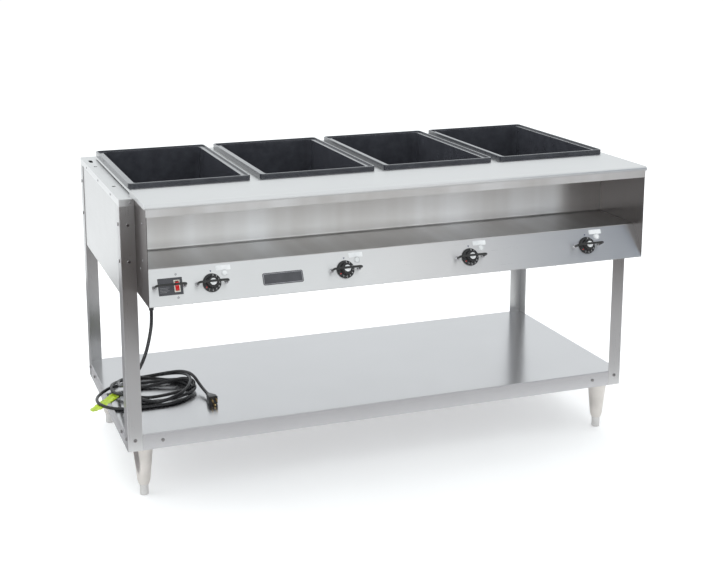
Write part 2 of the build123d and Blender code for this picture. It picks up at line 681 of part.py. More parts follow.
def frame_bolts():
    """Bolts through the legs into the aprons, the rear panel and the undershelf."""
    made = []
    for _, sx, sy, x, y in corners():
        for z in LEG_BOLT_Z:
            made.append(bolt(faces_out(x - sx * LEG_BOLT_IN, y, LEG_Z + z, (0, sy, 0))))
            made.append(bolt(faces_out(x, y - sy * LEG_BOLT_IN, LEG_Z + z, (sx, 0, 0))))
        made.append(bolt(faces_out(x - sx * SHELF_BOLT_IN, y, LEG_Z + SHELF_BOLT_Z, (0, sy, 0))))
        made.append(bolt(faces_out(x, y - sy * SHELF_BOLT_IN, LEG_Z + SHELF_BOLT_Z, (sx, 0, 0))))
    return made


def small_screw(face):
    return bolt(face, head_d=SCREW_HEAD_D, head_t=SCREW_HEAD_T)


def deck_screws():
    """Screws through the deck's turned-down edges."""
    made = []
    for side in (-1, 1):
        for i in (-1, 0, 1):
            y = Y_FRONT + FRAME_D / 2 + i * APRON_SCREW_PITCH
            made.append(small_screw(faces_out(side * X_RIGHT, y, LEG_Z + SCREW_Z, (side, 0, 0))))
        x = side * (X_RIGHT - BAND_SCREW_IN)
        made.append(small_screw(faces_out(x, Y_FRONT, LEG_Z + SCREW_Z, (0, -1, 0))))
    for x in WELL_X:
        made.append(small_screw(faces_out(x, Y_BACK, LEG_Z + SCREW_Z, (0, 1, 0))))
    return made


def panel_screws():
    """Screws along the lower lip of the control panel, at the switch and in the cheeks."""
    low = LEG_Z + CHEEK_BOTTOM - SHEET
    made = []
    for i in range(LIP_SCREW_COUNT):
        x = X_LEFT + LIP_SCREW_FIRST + i * LIP_SCREW_PITCH
        made.append(small_screw(faces_out(x, Y_NOSE + PANEL_LIP / 2, low, (0, 0, -1))))
    for rise in (-SWITCH_SCREW_RISE, SWITCH_SCREW_RISE):
        made.append(small_screw(on_panel(SWITCH_X + BEZEL_DX, SWITCH_UP + rise)))
    for side in (-1, 1):
        for y, z in CHEEK_SCREWS:
            made.append(small_screw(faces_out(side * CHEEK_X, Y_FRONT + y, LEG_Z + z, (side, 0, 0))))
    return made


# ---------------------------------------------------------------- cord

def cord_gland():
    """Tapered strain relief through the floor of the control box."""
    low = LEG_Z + CHEEK_BOTTOM - SHEET
    y = Y_FRONT + GLAND_Y_IN
    flange = rod(GLAND_X, y, low - GLAND_FLANGE_T, low, GLAND_FLANGE_D)
    flange = fillet(flange.edges().group_by(Axis.Z)[0], 1.2)
    neck = Pos(GLAND_X, y, low - GLAND_FLANGE_T - GLAND_L / 2) * Rot(180, 0, 0) * Cone(
        GLAND_D / 2 - 1, GLAND_END_D / 2, GLAND_L
    )
    barrel = rod(GLAND_X, y, low, low + 12, GLAND_D - 2 * GAP)
    return flange + neck + barrel


def tube(name, route):
    """A round cord along straight runs, joined by arcs as large as the runs allow."""
    points = [Vector(*p) for p in route]
    runs = [b - a for a, b in zip(points, points[1:])]
    radii = []
    for before, after in zip(runs, runs[1:]):
        turn = math.radians(before.get_angle(after))
        radii.append(ARC_SHARE * min(before.length, after.length) / math.tan(turn / 2))
    path = FilletPolyline(*points, radius=radii)
    shape = sweep(Plane(origin=path @ 0, z_dir=path % 0) * Circle(CORD_D / 2), path)
    expected = math.pi * CORD_D**2 / 4 * path.length
    print(name, "radii", [round(r) for r in radii], "runs", [round(r.length) for r in runs])
    print(name, "length", round(path.length), "volume ratio", round(shape.volume / expected, 4))
    return shape


def cord_coil():
    """Outer shape of the loose coil that lies on the undershelf."""
    low = LEG_Z + SHELF_H + TAG_T + GAP
    whole = extrude(Ellipse(COIL_HALF_L, COIL_HALF_W), COIL_H)
    hole = extrude(Ellipse(COIL_HOLE_L, COIL_HOLE_W), COIL_H)
    return Pos(COIL_X, COIL_Y, low) * (whole - hole)


def plug_place():
    """The middle of the plug's front face, with +Z the way its blades point."""
    yaw = math.radians(PLUG_YAW)
    x, y = PLUG_FRONT
    z = LEG_Z + SHELF_H + PLUG_H / 2
    across = (math.cos(yaw), math.sin(yaw), 0)
    return Location(Plane(origin=(x, y, z), x_dir=across, z_dir=(math.sin(yaw), -math.cos(yaw), 0)))


def plug():
    """Moulded straight plug with a tapered back and a round neck."""
    full = RectangleRounded(PLUG_W, PLUG_H, 4)
    back = RectangleRounded(PLUG_REAR_W, PLUG_REAR_W, 5)
    front = Pos(0, 0, PLUG_TAPER_L - PLUG_L) * extrude(full, PLUG_L - PLUG_TAPER_L)
    taper = loft([Pos(0, 0, -PLUG_L) * back, Pos(0, 0, PLUG_TAPER_L - PLUG_L) * full])
    neck = Pos(0, 0, -PLUG_L - PLUG_NECK_L / 2) * Cone(CORD_D / 2 + 1, PLUG_NECK_D / 2, PLUG_NECK_L)
    return plug_place() * (front + taper + neck)


def plug_prongs():
    """Two flat blades and a round earth pin."""
    blade = Box(BLADE_T, BLADE_H, BLADE_L)
    pin = Cylinder(GROUND_D / 2, GROUND_L)
    pin = fillet(pin.edges().group_by(Axis.Z)[-1], 2)
    made = [Pos(dx, BLADE_RISE, BLADE_L / 2) * blade for dx in (-BLADE_SPACING / 2, BLADE_SPACING / 2)]
    made.append(Pos(0, -GROUND_DROP, GROUND_L / 2) * pin)
    return [plug_place() * piece for piece in made]


def cord_tag():
    """Blank strip label that the cord's left loops lie on."""
    strip = extrude(RectangleRounded(TAG_L, TAG_W, 4), TAG_T)
    return Pos(TAG_X, TAG_Y, LEG_Z + SHELF_H) * Rot(0, 0, TAG_TURN) * strip


def main():
    nodes = {}
    for name, sx, sy, x, y in corners():
        nodes[f"leg_{name}"] = leg(sx, sy, x, y)
        foot_x = x - sx * FOOT_IN
        foot_y = y - sy * FOOT_IN
        nodes[f"foot_body_{name}"] = foot_body(foot_x, foot_y)
        nodes[f"foot_insert_{name}"] = foot_insert(foot_x, foot_y)
    nodes["corner_gussets"] = [gusset(sx, sy, x, y) for _, sx, sy, x, y in corners()]
    nodes["undershelf"] = undershelf()
    nodes["deck_top"] = deck_top()
    for i, x in enumerate(WELL_X, start=1):
        nodes[f"well_{i}"] = well(x)
        nodes[f"heating_element_{i}"] = heating_element(x)
        nodes[f"knob_{i}"] = knob(x)
    nodes["element_pans"] = [element_pan(x) for x in WELL_X]
    nodes["thermostats"] = [thermostat(x) for x in WELL_X]
    nodes["knob_guards"] = [guard(x, KNOB_UP) for x in WELL_X]
    nodes["pilot_lamps"] = [pilot_lamp(x) for x in WELL_X]
    nodes["label_plates"] = [
        plate(x + LABEL_RIGHT, LABEL_UP, LABEL_L, LABEL_H, LABEL_CORNER_R) for x in WELL_X
    ]
    nodes["apron_left"] = apron(-1)
    nodes["apron_right"] = apron(1)
    nodes["rear_panel"] = rear_panel()
    nodes["bottom_pan"] = bottom_pan()
    nodes["cheek_left"] = cheek(-1)
    nodes["cheek_right"] = cheek(1)
    nodes["dish_shelf"] = dish_shelf()
    nodes["control_panel"] = control_panel()
    nodes["control_box_pan"] = control_box_pan()
    nodes["front_rail"] = front_rail()
    nodes["plate_rest"] = plate_rest()
    nodes["switch_plate"] = switch_plate()
    nodes["switch_bezel"] = switch_bezel()
    nodes["switch_rocker"] = switch_rocker()
    nodes["switch_guard"] = guard(SWITCH_X + SWITCH_GUARD_DX, SWITCH_UP)
    nodes["badge_plate"] = plate(BADGE_X, BADGE_UP, BADGE_L, BADGE_H, BADGE_CORNER_R)
    nodes["terminal_block"] = terminal_block()
    nodes["frame_bolts"] = frame_bolts()
    nodes["deck_screws"] = deck_screws()
    nodes["panel_screws"] = panel_screws()
    nodes["cord_gland"] = cord_gland()
    nodes["cord_drop"] = tube("cord_drop", DROP_ROUTE)
    nodes["cord_coil"] = cord_coil()
    nodes["cord_tail"] = tube("cord_tail", TAIL_ROUTE)
    nodes["plug"] = plug()
    nodes["plug_prongs"] = plug_prongs()
    nodes["cord_tag"] = cord_tag()

    os.makedirs("parts", exist_ok=True)
    for name, shape in nodes.items():
        if isinstance(shape, list):
            shape = Compound(children=shape)
        shape.label = name
        export_step(shape, f"parts/{name}.step")
    print(len(nodes), "nodes")


main()
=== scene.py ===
import json
import math

import bmesh
import bpy
import numpy as np
from mathutils import Matrix, Vector


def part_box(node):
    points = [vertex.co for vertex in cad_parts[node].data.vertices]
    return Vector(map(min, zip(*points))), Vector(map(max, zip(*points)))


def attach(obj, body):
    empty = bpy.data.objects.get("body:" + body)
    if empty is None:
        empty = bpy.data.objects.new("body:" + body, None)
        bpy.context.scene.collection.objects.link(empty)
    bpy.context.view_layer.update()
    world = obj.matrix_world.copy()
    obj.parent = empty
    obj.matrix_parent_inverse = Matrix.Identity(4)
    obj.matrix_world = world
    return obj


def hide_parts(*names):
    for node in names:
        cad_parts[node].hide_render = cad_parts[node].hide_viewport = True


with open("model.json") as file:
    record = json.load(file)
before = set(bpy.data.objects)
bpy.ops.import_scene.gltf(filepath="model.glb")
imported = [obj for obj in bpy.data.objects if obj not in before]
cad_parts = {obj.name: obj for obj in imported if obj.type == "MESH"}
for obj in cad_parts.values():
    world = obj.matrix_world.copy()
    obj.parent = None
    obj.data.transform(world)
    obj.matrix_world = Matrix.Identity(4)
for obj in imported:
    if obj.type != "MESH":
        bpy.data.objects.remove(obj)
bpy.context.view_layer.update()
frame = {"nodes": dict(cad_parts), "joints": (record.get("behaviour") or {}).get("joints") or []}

NODES = frame["nodes"]

# ---- camera
CAMERA_PLACE = (-1.3445, -3.5087, 1.5781)
CAMERA_TURN = 18.913        # degrees to the right of +Y
CAMERA_DIP = 11.453         # degrees below the horizon
CAMERA_ROLL = -0.3986
CAMERA_LENS = 62.9
CAMERA_SHIFT = (0.06465, -0.15019)

WELLS = [f"well_{i}" for i in range(1, 5)]
SIDE_RANGE = (1.5, 2.8)     # X between which the card on the right darkens

# ---- cord, in metres
CORD_D = 0.0095
DROP_ROUTE = [
    (-0.718, -0.3402, 0.5808),
    (-0.718, -0.340, 0.547),
    (-0.719, -0.312, 0.500),
    (-0.722, -0.275, 0.446),
    (-0.728, -0.218, 0.385),
    (-0.736, -0.145, 0.328),
    (-0.743, -0.068, 0.281),
    (-0.746, 0.006, 0.249),
    (-0.744, 0.066, 0.231),
    (-0.736, 0.118, 0.218),
]
TAIL_ROUTE = [
    (-0.560, 0.146, 0.215),
    (-0.534, 0.112, 0.219),
    (-0.516, 0.066, 0.220),
    (-0.506, 0.012, 0.216),
    (-0.4995, -0.0421, 0.2114),
]
COIL_MIDDLE_X = -0.652
COIL_BACK_FRONT = [0.151, -0.066, 0.121, -0.037, 0.095, 0.000, 0.185, -0.051, 0.169]
COIL_RIGHT_LEFT = [-0.522, -0.818, -0.516, -0.730, -0.518, -0.764, -0.524, -0.720]
COIL_STEPS = 7              # points in each half turn
TAG_TURN = math.radians(51)
TAG_LENGTH = 0.146
TAG_WIDTH = 0.032
TAG_THICKNESS = 0.0003
TAG_LIFT = 0.0007           # strip over the shelf where it lies flat
TAG_TIP = 0.16              # share of the length that narrows to the tip, and by how much
TAG_TAPER = 0.55
TAG_CURL = 0.022            # rise of the free end, over its first share of the length
TAG_CURL_END = 0.3
TAG_ROWS = 60
TAG_COLUMNS = 12
LAY_STEP = 8                # samples in each span when strands are laid on each other
LAY_SLOPE = 0.22            # steepest rise of a strand over another


def shelf_top():
    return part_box("undershelf")[1].z


# ---------------------------------------------------------------- node helpers

def new_material(name):
    material = bpy.data.materials.new(name)
    material.use_nodes = True
    tree = material.node_tree
    shader = tree.nodes["Principled BSDF"]
    return material, tree, shader


def add(tree, kind, **settings):
    node = tree.nodes.new(kind)
    for key, value in settings.items():
        setattr(node, key, value)
    return node


def noise(tree, vector, scale, detail=3.0, roughness=0.5, distortion=0.0):
    node = add(tree, "ShaderNodeTexNoise")
    node.inputs["Scale"].default_value = scale
    node.inputs["Detail"].default_value = detail
    node.inputs["Roughness"].default_value = roughness
    node.inputs["Distortion"].default_value = distortion
    tree.links.new(vector, node.inputs["Vector"])
    return node.outputs["Fac"]


def stretched(tree, scale):
    """Object coordinates, scaled apart along X, Y and Z."""
    place = add(tree, "ShaderNodeTexCoord")
    mapping = add(tree, "ShaderNodeMapping")
    mapping.inputs["Scale"].default_value = scale
    tree.links.new(place.outputs["Object"], mapping.inputs["Vector"])
    return mapping.outputs["Vector"]


def remap(tree, value, low, high, from_low=0.0, from_high=1.0):
    node = add(tree, "ShaderNodeMapRange")
    node.inputs["From Min"].default_value = from_low
    node.inputs["From Max"].default_value = from_high
    node.inputs["To Min"].default_value = low
    node.inputs["To Max"].default_value = high
    tree.links.new(value, node.inputs["Value"])
    return node.outputs["Result"]


def two_colours(tree, value, dark, light, low=0.3, high=0.7):
    ramp = add(tree, "ShaderNodeValToRGB")
    ramp.color_ramp.elements[0].position = low
    ramp.color_ramp.elements[0].color = (*dark, 1)
    ramp.color_ramp.elements[1].position = high
    ramp.color_ramp.elements[1].color = (*light, 1)
    tree.links.new(value, ramp.inputs["Fac"])
    return ramp.outputs["Color"]


def bump(tree, shader, height, strength, distance):
    node = add(tree, "ShaderNodeBump")
    node.inputs["Strength"].default_value = strength
    node.inputs["Distance"].default_value = distance
    tree.links.new(height, node.inputs["Height"])
    tree.links.new(node.outputs["Normal"], shader.inputs["Normal"])


# ---------------------------------------------------------------- materials

# The grain's direction is a little off its axis, so it is never square on to a face.
GRAIN_AXIS = {"X": (1, 0.02, 0.03), "Y": (0.02, 1, 0.03), "Z": (0.02, 0.03, 1)}


def brushed_steel(name, grain, base, roughness=(0.28, 0.33), tint=(1.0, 1.0, 1.0), reflection_bands=0.0, spread=0.85):
    """Stainless sheet with a fine brushed grain along one axis, faint handling marks and tone drift.

    How much the tone falls in wide soft streaks along X is set by the argument after tint; these streaks
    are painted reflections. spread sets the anisotropy."""
    material, tree, shader = new_material(name)
    across = {"X": (1.2, 900, 900), "Y": (900, 1.2, 900), "Z": (900, 900, 1.2)}[grain]
    lines = noise(tree, stretched(tree, across), 1.0, detail=4.0, roughness=0.7)
    drift = noise(tree, stretched(tree, (1, 1, 1)), 3.2, detail=3.0)
    smudge = noise(tree, stretched(tree, (1, 1, 1)), 11.0, detail=5.0, roughness=0.65, distortion=0.8)
    mixed = add(tree, "ShaderNodeMath", operation="MULTIPLY_ADD")
    tree.links.new(drift, mixed.inputs[0])
    mixed.inputs[1].default_value = 0.6
    tree.links.new(remap(tree, lines, 0.0, 0.4), mixed.inputs[2])
    dark = tuple(base * 0.97 * t for t in tint)
    light = tuple(base * 1.03 * t for t in tint)
    tone = two_colours(tree, mixed.outputs[0], dark, light)
    # Painted reflection: soft darker streaks along X in the base colour, standing in for blurred
    # reflections of the room.
    if reflection_bands:
        wide = noise(tree, stretched(tree, (6.5, 0.15, 0.15)), 1.0, detail=3.0)
        reflection_band = two_colours(tree, wide, (1 - reflection_bands, 1 - 1.1 * reflection_bands, 1 - 1.2 * reflection_bands), (1, 1, 1), 0.35, 0.65)
        mix = add(tree, "ShaderNodeMixRGB", blend_type="MULTIPLY")
        mix.inputs["Fac"].default_value = 1.0
        tree.links.new(tone, mix.inputs["Color1"])
        tree.links.new(reflection_band, mix.inputs["Color2"])
        tone = mix.outputs["Color"]
    tree.links.new(tone, shader.inputs["Base Color"])
    shader.inputs["Metallic"].default_value = 1.0
    shader.inputs["Anisotropic"].default_value = spread
    surface = add(tree, "ShaderNodeNewGeometry")
    across_grain = add(tree, "ShaderNodeVectorMath", operation="CROSS_PRODUCT")
    tree.links.new(surface.outputs["Normal"], across_grain.inputs[0])
    across_grain.inputs[1].default_value = GRAIN_AXIS[grain]
    tree.links.new(across_grain.outputs["Vector"], shader.inputs["Tangent"])
    rough = add(tree, "ShaderNodeMath", operation="ADD")
    tree.links.new(remap(tree, smudge, -0.01, 0.014, 0.35, 0.7), rough.inputs[0])
    tree.links.new(remap(tree, lines, roughness[0], roughness[1], 0.3, 0.7), rough.inputs[1])
    tree.links.new(rough.outputs[0], shader.inputs["Roughness"])
    bump(tree, shader, lines, 0.05, 0.0001)
    return material


def satin_metal(name, color, roughness=(0.3, 0.45), grain_scale=160.0):
    """Cast or turned metal with a fine even grain."""
    material, tree, shader = new_material(name)
    place = stretched(tree, (1, 1, 1))
    grain = noise(tree, place, grain_scale, detail=4.0)
    drift = noise(tree, place, 14.0, detail=3.0)
    dark = tuple(c * 0.85 for c in color)
    light = tuple(min(1.0, c * 1.12) for c in color)
    tree.links.new(two_colours(tree, drift, dark, light), shader.inputs["Base Color"])
    shader.inputs["Metallic"].default_value = 1.0
    tree.links.new(remap(tree, grain, *roughness), shader.inputs["Roughness"])
    bump(tree, shader, grain, 0.15, 0.0003)
    return material


def moulded(name, color, roughness=(0.25, 0.4), texture=420.0, depth=0.0002, coat=0.0):
    """Moulded plastic or rubber with a fine surface texture and faint wear."""
    material, tree, shader = new_material(name)
    place = stretched(tree, (1, 1, 1))
    fine = noise(tree, place, texture, detail=3.0)
    wear = noise(tree, place, 28.0, detail=5.0, roughness=0.6)
    dark = tuple(c * 0.8 for c in color)
    light = tuple(min(1.0, c * 1.15 + 0.003) for c in color)
    tree.links.new(two_colours(tree, wear, dark, light), shader.inputs["Base Color"])
    tree.links.new(remap(tree, wear, *roughness, 0.3, 0.7), shader.inputs["Roughness"])
    shader.inputs["Coat Weight"].default_value = coat
    bump(tree, shader, fine, 0.2, depth)
    return material


def assign(material, *names):
    for name in names:
        node = NODES[name]
        for slot in node.material_slots:
            slot.material = material


def piece(name, mesh_data, material, body="root"):
    """A new visible piece from a bmesh, which rides on a body."""
    bmesh.ops.recalc_face_normals(mesh_data, faces=mesh_data.faces)
    mesh = bpy.data.meshes.new(name)
    mesh_data.to_mesh(mesh)
    mesh_data.free()
    made = bpy.data.objects.new(name, mesh)
    bpy.context.scene.collection.objects.link(made)
    mesh.materials.append(material)
    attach(made, body)
    return made


# ---------------------------------------------------------------- camera, floor and light

def make_camera():
    data = bpy.data.cameras.new("camera")
    data.lens = CAMERA_LENS
    data.shift_x, data.shift_y = CAMERA_SHIFT
    camera = bpy.data.objects.new("camera", data)
    bpy.context.scene.collection.objects.link(camera)
    turn = Matrix.Rotation(-math.radians(CAMERA_TURN), 4, "Z")
    dip = Matrix.Rotation(math.radians(90 - CAMERA_DIP), 4, "X")
    roll = Matrix.Rotation(math.radians(CAMERA_ROLL), 4, "Z")
    camera.matrix_world = Matrix.Translation(CAMERA_PLACE) @ turn @ dip @ roll
    bpy.context.scene.camera = camera


def make_floor():
    mesh = bpy.data.meshes.new("floor")
    size = 14.0
    corners = [(-size, -size, 0), (size, -size, 0), (size, size, 0), (-size, size, 0)]
    mesh.from_pydata(corners, [], [(0, 1, 2, 3)])
    floor = bpy.data.objects.new("floor", mesh)
    bpy.context.scene.collection.objects.link(floor)
    material, tree, shader = new_material("floor_white")
    place = stretched(tree, (1, 1, 1))
    drift = noise(tree, place, 1.5, detail=3.0)
    tone = two_colours(tree, drift, (0.86, 0.86, 0.86), (0.9, 0.9, 0.9))
    tree.links.new(tone, shader.inputs["Base Color"])
    shader.inputs["Roughness"].default_value = 0.8
    shader.inputs["Emission Color"].default_value = (1, 1, 1, 1)
    shader.inputs["Emission Strength"].default_value = 0.28
    mesh.materials.append(material)


def area_light(name, place, aim, size, power):
    data = bpy.data.lights.new(name, "AREA")
    data.shape = "RECTANGLE"
    data.size, data.size_y = size
    data.energy = power
    light = bpy.data.objects.new(name, data)
    bpy.context.scene.collection.objects.link(light)
    light.location = place
    direction = Vector(aim) - Vector(place)
    light.rotation_euler = direction.to_track_quat("-Z", "Y").to_euler()
    light.visible_glossy = False


def reflected_card(name, corners, near, far, start, stop, side=None):
    """A studio card that only reflections see, as a photographer stands one out of the picture.

    Its tone runs from near to far between the two values of Y given, and towards side on the right."""
    mesh = bpy.data.meshes.new(name)
    mesh.from_pydata(corners, [], [(0, 1, 2, 3)])
    card = bpy.data.objects.new(name, mesh)
    bpy.context.scene.collection.objects.link(card)
    material = bpy.data.materials.new(name)
    material.use_nodes = True
    tree = material.node_tree
    tree.nodes.clear()
    place = add(tree, "ShaderNodeTexCoord")
    split = add(tree, "ShaderNodeSeparateXYZ")
    tree.links.new(place.outputs["Object"], split.inputs[0])
    along = remap(tree, split.outputs["Y"], 0.0, 1.0, start, stop)
    tone = two_colours(tree, along, near, far, 0.0, 1.0)
    if side:
        across = remap(tree, split.outputs["X"], 0.0, 1.0, *SIDE_RANGE)
        mix = add(tree, "ShaderNodeMixRGB")
        tree.links.new(across, mix.inputs["Fac"])
        tree.links.new(tone, mix.inputs["Color1"])
        mix.inputs["Color2"].default_value = (*side, 1)
        tone = mix.outputs["Color"]
    glow = add(tree, "ShaderNodeEmission")
    tree.links.new(tone, glow.inputs["Color"])
    out = add(tree, "ShaderNodeOutputMaterial")
    tree.links.new(glow.outputs["Emission"], out.inputs["Surface"])
    mesh.materials.append(material)
    card.visible_camera = False
    card.visible_diffuse = False
    card.visible_shadow = False


def make_light():
    bpy.context.scene.view_settings.view_transform = "Standard"
    world = bpy.data.worlds.new("studio")
    bpy.context.scene.world = world
    world.use_nodes = True
    background = world.node_tree.nodes["Background"]
    background.inputs["Color"].default_value = (0.95, 0.985, 1.0, 1)
    background.inputs["Strength"].default_value = 1.08
    area_light("overhead", (0.0, 0.6, 3.6), (0, 0, 0.8), (5.0, 3.0), 40)
    area_light("left", (-4.0, 0.6, 1.9), (0, 0, 0.6), (2.6, 2.6), 20)
    brown, grey, blue = (0.09, 0.068, 0.06), (0.62, 0.62, 0.63), (0.15, 0.185, 0.25)
    reach, low = 7.0, 0.01
    front = [(-reach, -4.6, low), (reach, -4.6, low), (reach, -0.62, low), (-reach, -0.62, low)]
    reflected_card("floor_card", front, grey, brown, -1.35, -2.1)
    wall = [(1.3, -3.2, 1.4), (reach, -3.2, 1.4), (reach, -3.2, 4.5), (1.3, -3.2, 4.5)]
    reflected_card("right_card", wall, (1, 1, 1), (1, 1, 1), 0.0, 1.0, blue)
    behind = [(-reach, -0.3, low), (-0.84, -0.3, low), (-0.84, 2.0, low), (-reach, 2.0, low)]
    reflected_card("left_card", behind, (0.42, 0.42, 0.44), (0.36, 0.36, 0.37), 0.0, 2.0)


# ---------------------------------------------------------------- cord

def coil_points():
    """Loose turns: half turns between the back and front strands, round a right or left end."""
    points = []
    for i, end_x in enumerate(COIL_RIGHT_LEFT):
        start_y, stop_y = COIL_BACK_FRONT[i], COIL_BACK_FRONT[i + 1]
        half_w = (start_y - stop_y) / 2
        side = math.copysign(1, end_x - COIL_MIDDLE_X)
        half_l = min(abs(half_w), abs(end_x - COIL_MIDDLE_X))
        points.append((COIL_MIDDLE_X, start_y))
        for step in range(COIL_STEPS - 1):
            angle = math.pi * (0.5 - (step + 0.5) / (COIL_STEPS - 1))
            x = end_x - side * half_l * (1 - math.cos(angle))
            points.append((x, (start_y + stop_y) / 2 + half_w * math.sin(angle)))
    return points


def laid(points, fixed):
    """Heights for the points: each strand lies on the shelf or over the strands laid before it."""
    plan = np.array([(x, y) for x, y, *rest in points])
    known = {i: points[i][2] for i in fixed}
    floor = shelf_top() + CORD_D / 2
    spots, owner = [], []
    for i in range(1, len(plan) - 1):
        start, stop = (plan[i - 1] + plan[i]) / 2, (plan[i] + plan[i + 1]) / 2
        for t in np.arange(LAY_STEP) / LAY_STEP:
            spots.append((1 - t) ** 2 * start + 2 * t * (1 - t) * plan[i] + t * t * stop)
            owner.append(i)
    spots = np.array(spots)
    owner = np.array(owner)
    run = np.concatenate([[0], np.cumsum(np.linalg.norm(np.diff(spots, axis=0), axis=1))])
    held = np.array([known.get(i, -1.0) for i in owner])
    height = np.where(held > 0, held, floor)
    for _ in range(4):
        for k in range(len(spots)):
            if held[k] > 0:
                continue
            apart = np.linalg.norm(spots[:k] - spots[k], axis=1)
            near = (apart < CORD_D) & (run[:k] < run[k] - 4 * CORD_D)
            need = floor
            for j in np.flatnonzero(near):
                over = math.sqrt(CORD_D ** 2 - apart[j] ** 2)
                if height[j] - floor < over or height[j] - height[k] < over:
                    need = max(need, height[j] + over)
            height[k] = need
        for k in range(1, len(spots)):
            if held[k] < 0:
                height[k] = max(height[k], height[k - 1] - LAY_SLOPE * (run[k] - run[k - 1]))
        for k in range(len(spots) - 2, -1, -1):
            if held[k] < 0:
                height[k] = max(height[k], height[k + 1] - LAY_SLOPE * (run[k + 1] - run[k]))
    for i in range(1, len(plan) - 1):
        if i not in known:
            known[i] = float(height[owner == i].max())
    return [(x, y, known[i]) for i, (x, y) in enumerate(plan.tolist())]


def nurbs(name, points, diameter):
    curve = bpy.data.curves.new(name, "CURVE")
    curve.dimensions = "3D"
    curve.bevel_depth = diameter / 2
    curve.bevel_resolution = 5
    curve.resolution_u = 10
    curve.use_fill_caps = True
    spline = curve.splines.new("NURBS")
    spline.points.add(len(points) - 1)
    for point, place in zip(spline.points, points):
        point.co = (*place, 1)
    spline.order_u = 3
    spline.use_endpoint_u = True
    made = bpy.data.objects.new(name, curve)
    bpy.context.scene.collection.objects.link(made)
    return made


def make_tag():
    """Blank strip label under the coil's left loops, a little curled where it sticks out."""
    low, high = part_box("cord_tag")
    middle = (low + high) / 2
    along = Vector((math.cos(TAG_TURN), math.sin(TAG_TURN), 0))
    across = Vector((-along.y, along.x, 0))
    strip = bmesh.new()
    rows = []
    for k in range(TAG_ROWS + 1):
        t = k / TAG_ROWS
        run = (t - 0.5) * TAG_LENGTH
        wide = TAG_WIDTH * (1 - TAG_TAPER * max(0.0, TAG_TIP - t) / TAG_TIP)
        row = []
        for m in range(TAG_COLUMNS + 1):
            u = m / TAG_COLUMNS - 0.5
            ripple = 0.0016 * math.sin(21 * t + 3 * u) + 0.0013 * math.sin(34 * t - 9 * u)
            lift = TAG_LIFT + abs(ripple) + TAG_CURL * max(0.0, TAG_CURL_END - t) ** 2 * (1 + 2 * u)
            place = middle + along * run + across * (u * wide)
            row.append(strip.verts.new((place.x, place.y, shelf_top() + lift)))
        rows.append(row)
    for a, b in zip(rows, rows[1:]):
        for m in range(TAG_COLUMNS):
            strip.faces.new((a[m], a[m + 1], b[m + 1], b[m])).smooth = True
    yellow = moulded("tag_yellow", (0.56, 0.76, 0.03), (0.25, 0.4))
    made = piece("tag_strip", strip, yellow, "root")
    made.modifiers.new("thickness", "SOLIDIFY").thickness = TAG_THICKNESS
    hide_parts("cord_tag")
    return made


def make_cord():
    points = DROP_ROUTE + coil_points() + TAIL_ROUTE
    last = len(points) - 1
    fixed = [*range(len(DROP_ROUTE) - 1), last - 1, last]
    cord = nurbs("power_cord", laid(points, fixed), CORD_D)
    cord.data.materials.append(moulded("cord_black", (0.012, 0.012, 0.014), (0.2, 0.3), 300.0))
    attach(cord, "root")
    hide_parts("cord_drop", "cord_coil", "cord_tail")
    make_tag()


# ---------------------------------------------------------------- the whole table

